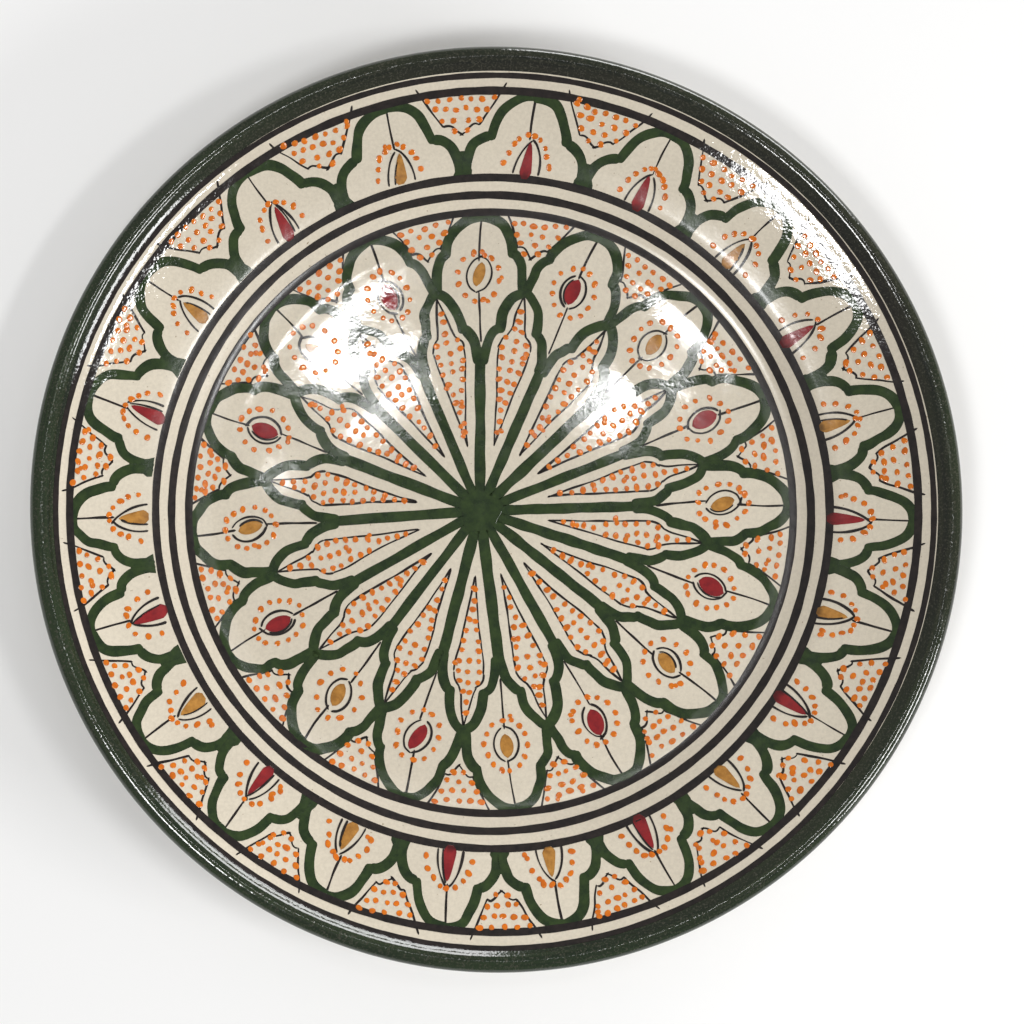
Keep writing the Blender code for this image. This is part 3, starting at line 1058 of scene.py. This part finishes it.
def rim_green():
    """Dark green over brown-black: brushed on as the plate turned, so its streaks follow the rim.

    The green is thickest at the lip. Towards the lower left of the plate it is also painted greener and
    lighter, as painted light where more light falls on that side.
    """
    nodes = Nodes("rim_green_glaze")
    streaks = nodes.spread(nodes.turned_noise(2.5, 900.0, 4.0), 0.3, 0.7)
    patches = nodes.spread(nodes.noise(22.0, 3.0, 0.6), 0.35, 0.65)
    outward = nodes.spread(nodes.radius(), 0.1530, 0.1585)
    green = nodes.mix(streaks, (0.005, 0.014, 0.004), (0.019, 0.035, 0.011))
    dark = nodes.mix(streaks, (0.003, 0.003, 0.002), (0.018, 0.015, 0.009))
    x, y, z = nodes.place()
    # Painted light: the rim turns greener and lighter towards the lower left (low x + y), where more light
    # falls
    side = nodes.spread(nodes.math("ADD", x, y), -0.13, 0.15, 1.0, 0.0)
    cover = nodes.math("MULTIPLY", nodes.math("ADD", patches, outward), 0.3)
    cover = nodes.math("MINIMUM", nodes.math("ADD", cover, nodes.math("MULTIPLY", side, 0.6)), 1.0)
    # Painted sheen: pale grey specks stand in for the fine grainy glints on the dark glaze
    sheen_specks = nodes.spread(nodes.noise(1300.0, 2.0, 0.7), 0.52, 0.74)
    colour = nodes.mix(sheen_specks, nodes.mix(cover, dark, green), (0.060, 0.058, 0.042))
    nodes.link(colour, nodes.shader.inputs["Base Color"])
    glaze_surface(nodes, RIM_ROUGHNESS, RIM_GRAIN)
    return nodes.material


def bare_clay():
    nodes = Nodes("bare_clay")
    clouds = nodes.spread(nodes.noise(45.0, 5.0, 0.6), 0.3, 0.7)
    colour = nodes.mix(clouds, (0.42, 0.215, 0.125), (0.56, 0.33, 0.21))
    grit = nodes.spread(nodes.noise(1400.0, 2.0), 0.62, 0.70)
    colour = nodes.mix(grit, colour, (0.66, 0.52, 0.40))
    nodes.link(colour, nodes.shader.inputs["Base Color"])
    nodes.link(nodes.spread(nodes.noise(300.0, 3.0), 0.3, 0.7, 0.7, 0.95), nodes.shader.inputs["Roughness"])
    nodes.bump(((nodes.noise(900.0, 4.0, 0.7), 0.0003, 0.7),))
    return nodes.material


def pale_floor():
    nodes = Nodes("pale_floor")
    clouds = nodes.spread(nodes.noise(3.0, 2.0), 0.3, 0.7)
    colour = nodes.mix(clouds, (0.90, 0.90, 0.895), (0.93, 0.93, 0.93))
    nodes.link(colour, nodes.shader.inputs["Base Color"])
    nodes.shader.inputs["Roughness"].default_value = 0.85
    return nodes.material


# Pieces

FACE_END = 151.5
FACE_STEPS = 152
RIM_START = 150.95
RIM_FACE_END = 153.6
RIM_BACK_COUNT = 9
BACK_START = 8
BASE_HEIGHT = 6.7
BASE_PROFILE = ((0.0, BASE_HEIGHT), (67.0, BASE_HEIGHT), (67.0, 6.4), (66.4, 6.05), (40.0, 6.0), (0.0, 6.0))

# The clay under the coats: its depth under the face and above the back, and its rolled edge
CLAY_DEPTH = 1.0
CLAY_END = 153.0
CLAY_STEPS = 60
CLAY_LIP_MIDDLE = (156.4, 31.6)
CLAY_LIP_RADIUS = 2.5
CLAY_LIP_TURNS = np.linspace(2.1, -1.3, 12)
CLAY_BACK_START = 6
CLAY_INSET = 0.3
CLAY_UNDERSIDE = ((75.0, 7.0), (0.0, 7.0))
FOOT_TOP = ((69.0, 7.0), (80.2, 7.0))


def build_coats(cream, rim):
    top = face_path(0.0, FACE_END, FACE_STEPS)
    under = [(radius, height - COAT_THICKNESS) for radius, height in top[::-1]]
    make_piece("face_coat", turned(top + under), cream, ["face_glaze"])

    lip = face_path(RIM_START, RIM_FACE_END, 6)
    lip += arc(LIP_MIDDLE, LIP_RADIUS, [math.radians(degrees) for degrees in LIP_DEGREES])
    lip += rounded(BACK_POINTS[:3])[:RIM_BACK_COUNT]
    make_piece("rim_coat", turned(shell(lip)), rim, ["rim_glaze"])

    back = rounded(BACK_POINTS)[BACK_START:]
    make_piece("back_coat", turned(shell(back)), cream, ["back_glaze"])
    make_piece("base_coat", turned(BASE_PROFILE), cream, ["base_glaze"])


def build_clay(clay):
    body = [(radius, height - CLAY_DEPTH) for radius, height in face_path(0.0, CLAY_END, CLAY_STEPS)]
    body += arc(CLAY_LIP_MIDDLE, CLAY_LIP_RADIUS, CLAY_LIP_TURNS)
    for radius, height in rounded(BACK_POINTS)[CLAY_BACK_START:]:
        body.append((radius - CLAY_INSET, height + CLAY_DEPTH))
    body += CLAY_UNDERSIDE
    make_piece("clay_core", turned(body), clay, ["clay_body"])

    foot = [*FOOT_TOP, *((radius, max(height, 0.0)) for radius, height in rounded(FOOT_POINTS, 5))]
    make_piece("foot", turned(foot), clay, ["foot_ring"])


def build_rings(brown):
    rim_line = ring_line(RIM_LINE_RADIUS, RIM_LINE_HALF, 5)
    make_piece("rim_line", rim_line, brown, ["rim_border_line"])
    for number, (node, radius) in enumerate(zip(RING_NODES, RING_RADII), start=1):
        ring = ring_line(radius, LINE_WIDTH / 2, 100 + number)
        make_piece(f"ring_line_{number}", ring, brown, [node])


def build_tracery(green, black):
    layers = (
        ("medallion_strokes", medallion_strokes, green, "green_line", ["medallion_tracery"]),
        ("border_strokes", border_strokes, green, "green_line", ["border_tracery"]),
        ("medallion_fine_lines", medallion_lines, black, "brown_black_line", []),
        ("border_fine_lines", border_lines, black, "brown_black_line", []),
    )
    for name, paint, material, slot, nodes in layers:
        shape = Shape()
        paint(shape)
        make_piece(name, shape, material, nodes)


def build_eyes(red, ochre, black):
    zones = (("medallion", MEDALLION_EYES, medallion_eyes), ("border", BORDER_EYES, border_eyes))
    for zone, nodes, paint in zones:
        reds, ochres, outlines = Shape(), Shape(), Shape()
        paint(reds, ochres, outlines)
        red_nodes = [node for node in nodes if eye_is_red(node)]
        ochre_nodes = [node for node in nodes if not eye_is_red(node)]
        make_piece(f"{zone}_red_eyes", reds, red, red_nodes)
        make_piece(f"{zone}_ochre_eyes", ochres, ochre, ochre_nodes)
        make_piece(f"{zone}_eye_outlines", outlines, black)


def build_dots(orange):
    layers = (
        (medallion_dots, ("leaf_dots", "medallion_corner_dots", "medallion_eye_dots")),
        (border_dots, ("border_corner_dots", "border_eye_dots")),
    )
    for paint, names in layers:
        shapes = [Shape() for _ in names]
        paint(*shapes)
        for name, shape in zip(names, shapes):
            make_piece(name, shape, orange)


def build_plate():
    cream = cream_glaze()
    green = pigment("green_line", (0.007, 0.020, 0.004), (0.026, 0.049, 0.010), 260.0)
    brown = pigment("brown_black_line", (0.005, 0.003, 0.003), (0.020, 0.014, 0.012), 420.0)
    black = pigment("black_line", (0.005, 0.003, 0.003), (0.018, 0.013, 0.011), 500.0)
    red = pigment("red_enamel", (0.17, 0.007, 0.011), (0.28, 0.013, 0.015), 300.0)
    ochre = pigment("ochre_enamel", (0.27, 0.115, 0.018), (0.50, 0.235, 0.045), 300.0)
    orange = pigment("orange_enamel", (0.55, 0.108, 0.002), (0.68, 0.182, 0.006), 500.0)
    build_coats(cream, rim_green())
    build_clay(bare_clay())
    build_rings(brown)
    build_tracery(green, black)
    build_eyes(red, ochre, black)
    build_dots(orange)


# Studio

FLOOR_REACH = 3.0
WORLD_COLOUR = (1.0, 0.995, 0.985, 1.0)
WORLD_STRENGTH = 0.365

# Name, azimuth and tilt from vertical in degrees, distance, (width, depth), power
SOFTBOXES = (
    ("key_softbox", 62.0, 82.0, 3.0, (2.4, 0.8), 68.0),
    ("right_flange_light", -134.0, 22.5, 1.65, (0.30, 0.27), 8.2),
    ("left_flange_light", -24.0, 31.0, 1.65, (0.40, 0.13), 5.0),
    ("left_rim_light", -25.0, 68.0, 2.2, (0.85, 0.42), 22.0),
)
# Small lamps nearly overhead, which the well mirrors: (x, y, turn in degrees, width, depth, power)
LAMPS = (
    (0.009, 0.224, 16.0, 0.088, 0.028, 0.38),
    (0.042, 0.164, 40.0, 0.070, 0.007, 0.10),
    (-0.081, 0.119, -42.0, 0.034, 0.010, 0.05),
    (0.228, 0.178, 52.0, 0.052, 0.036, 0.28),
    (0.305, 0.209, -50.0, 0.072, 0.009, 0.10),
)
LAMP_HEIGHT = 1.5
SOFTBOX_TARGET = (0.0, 0.0, 0.02)


def add_area_light(name, place, width, depth, power):
    light = bpy.data.lights.new(name, "AREA")
    light.shape = "RECTANGLE"
    light.size = width
    light.size_y = depth
    light.energy = power
    item = bpy.data.objects.new(name, light)
    bpy.context.scene.collection.objects.link(item)
    item.location = place
    return item


def build_floor():
    mesh = bpy.data.meshes.new("floor")
    reach = FLOOR_REACH
    corners = [(-reach, -reach, 0.0), (reach, -reach, 0.0), (reach, reach, 0.0), (-reach, reach, 0.0)]
    mesh.from_pydata(corners, [], [(0, 1, 2, 3)])
    mesh.materials.append(pale_floor())
    floor = bpy.data.objects.new("floor", mesh)
    bpy.context.scene.collection.objects.link(floor)


def build_lights():
    world = bpy.data.worlds.new("studio")
    world.use_nodes = True
    world.node_tree.nodes["Background"].inputs["Color"].default_value = WORLD_COLOUR
    world.node_tree.nodes["Background"].inputs["Strength"].default_value = WORLD_STRENGTH
    bpy.context.scene.world = world

    for name, azimuth, tilt, distance, (width, depth), power in SOFTBOXES:
        turn, lean = math.radians(azimuth), math.radians(tilt)
        place = (
            distance * math.sin(lean) * math.cos(turn),
            distance * math.sin(lean) * math.sin(turn),
            distance * math.cos(lean),
        )
        softbox = add_area_light(name, place, width, depth, power)
        direction = Vector(SOFTBOX_TARGET) - softbox.location
        softbox.rotation_euler = direction.to_track_quat("-Z", "Y").to_euler()
    for number, (x, y, turn, width, depth, power) in enumerate(LAMPS, start=1):
        lamp = add_area_light(f"lamp_{number}", (x, y, LAMP_HEIGHT), width, depth, power)
        lamp.rotation_euler = (0.0, 0.0, math.radians(turn))


# The camera looks down on the plate, a little from the left and from the front
CAMERA_DISTANCE = 1.142
CAMERA_TARGET = (0.0049, -0.0011, 0.015)
CAMERA_LEAN_LEFT = math.radians(5.3)
CAMERA_LEAN_FRONT = math.radians(3.2)
FRAME_WIDTH = 0.3571


def build_camera():
    data = bpy.data.cameras.new("camera")
    data.angle = 2 * math.atan(FRAME_WIDTH / 2 / CAMERA_DISTANCE)
    data.clip_start = 0.01
    camera = bpy.data.objects.new("camera", data)
    bpy.context.scene.collection.objects.link(camera)
    direction = Vector((-math.tan(CAMERA_LEAN_LEFT), -math.tan(CAMERA_LEAN_FRONT), 1.0)).normalized()
    target = Vector(CAMERA_TARGET)
    camera.location = target + direction * CAMERA_DISTANCE
    right = Vector((0.0, 1.0, 0.0)).cross(direction).normalized()
    up = direction.cross(right)
    camera.rotation_euler = Matrix((right, up, direction)).transposed().to_euler()
    bpy.context.scene.camera = camera


build_plate()
build_floor()
build_lights()
build_camera()
bpy.context.scene.view_settings.view_transform = "Standard"
